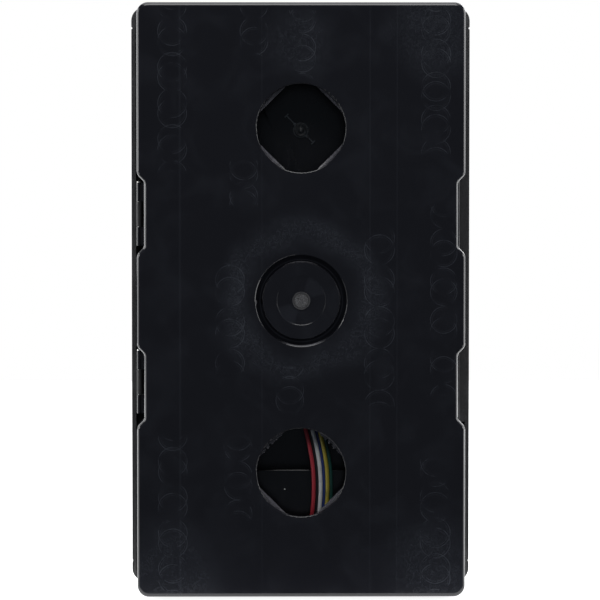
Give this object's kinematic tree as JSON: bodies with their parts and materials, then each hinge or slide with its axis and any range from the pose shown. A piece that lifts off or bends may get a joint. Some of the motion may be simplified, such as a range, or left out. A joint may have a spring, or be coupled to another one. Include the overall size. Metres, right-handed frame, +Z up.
{
  "type": "pedestrian traffic light",
  "caption": "Two-aspect pedestrian signal head: drafted rear housing with bracket ports, hinged front door, hooded lenses, lamp units and wiring.",
  "frame": {"origin": "centre of the housing's flat rear face, on the gate boss of the closed knock-out", "axes": "+Z up along the longest side, +Y out of the rear face, -Y the lit front"},
  "size_m": [0.302, 0.25, 0.5216],
  "materials": {
    "housing_gloss_black": "glossy moulded, faint swirl marks",
    "door_grained_black": "fine spark grain",
    "seal_rubber": "satin",
    "bright_steel": "plated",
    "visor_matte_black": "fine spark grain",
    "clear_lens": "clear",
    "mask_black": "flat",
    "diffuser_frosted": "frosted",
    "board_green": "solder mask",
    "led_red": "clear tinted",
    "led_green": "clear tinted",
    "cup_satin_black": "satin",
    "zinc_plate": "zinc plated",
    "knob_black": "moulded",
    "driver_black": "glossy moulded",
    "light_pipe": "clear",
    "component_mixed": "mixed",
    "terminal_grey": "moulded",
    "tie_nylon": "moulded",
    "wire_red": "insulation",
    "wire_black": "insulation",
    "wire_white": "insulation",
    "wire_blue": "insulation",
    "wire_yellow": "insulation",
    "wire_green": "insulation"
  },
  "bodies": {
    "housing": {"rear_housing": "housing_gloss_black", "hinge_pin_upper": "bright_steel", "hinge_pin_lower": "bright_steel"},
    "door": {"cable_gland_lower": "seal_rubber", "cable_gland_upper": "seal_rubber", "clip_screws_lower": "bright_steel", "clip_screws_upper": "bright_steel", "diffuser_lower": "diffuser_frosted", "diffuser_upper": "diffuser_frosted", "door_seal": "seal_rubber", "driver_board": "board_green", "driver_case": "driver_black", "driver_components": "component_mixed", "driver_lid": "driver_black", "front_door": "door_grained_black", "latch_seal_lower": "seal_rubber", "latch_seal_upper": "seal_rubber", "led_board_lower": "board_green", "led_board_upper": "board_green", "leds_lower": "led_green", "leds_upper": "led_red", "lens_gasket_lower": "seal_rubber", "lens_gasket_upper": "seal_rubber", "lens_lower": "clear_lens", "lens_upper": "clear_lens", "lid_screws": "bright_steel", "loom_ties": "tie_nylon", "module_clips_lower": "zinc_plate", "module_clips_upper": "zinc_plate", "module_cup_lower": "cup_satin_black", "module_cup_upper": "cup_satin_black", "status_light": "light_pipe", "symbol_mask_lower": "mask_black", "symbol_mask_upper": "mask_black", "terminal_block": "terminal_grey", "terminal_screws": "bright_steel", "vent_cap": "cup_satin_black", "vent_spring": "bright_steel", "visor_lower": "visor_matte_black", "visor_screws_lower": "bright_steel", "visor_screws_upper": "bright_steel", "visor_upper": "visor_matte_black", "wire_black": "wire_black", "wire_blue": "wire_blue", "wire_green": "wire_green", "wire_red": "wire_red", "wire_white": "wire_white", "wire_yellow": "wire_yellow"},
    "latch_upper": {"latch_knob_upper": "knob_black", "latch_cam_upper": "zinc_plate", "cam_screw_upper": "bright_steel", "latch_retainer_upper": "bright_steel"},
    "latch_lower": {"latch_knob_lower": "knob_black", "latch_cam_lower": "zinc_plate", "cam_screw_lower": "bright_steel", "latch_retainer_lower": "bright_steel"}
  },
  "joints": [
    {"name": "door_hinge", "type": "hinge", "parent": "housing", "child": "door", "pos_m": [0.1441, -0.066, 0], "axis": [0, 0, 1], "range_deg": [0, 110]},
    {"name": "latch_turn_upper", "type": "hinge", "parent": "door", "child": "latch_upper", "pos_m": [-0.118, -0.1, 0.075], "axis": [0, 1, 0], "range_deg": [0, 90]},
    {"name": "latch_turn_lower", "type": "hinge", "parent": "door", "child": "latch_lower", "pos_m": [-0.118, -0.1, -0.075], "axis": [0, 1, 0], "range_deg": [0, 90]}
  ]
}
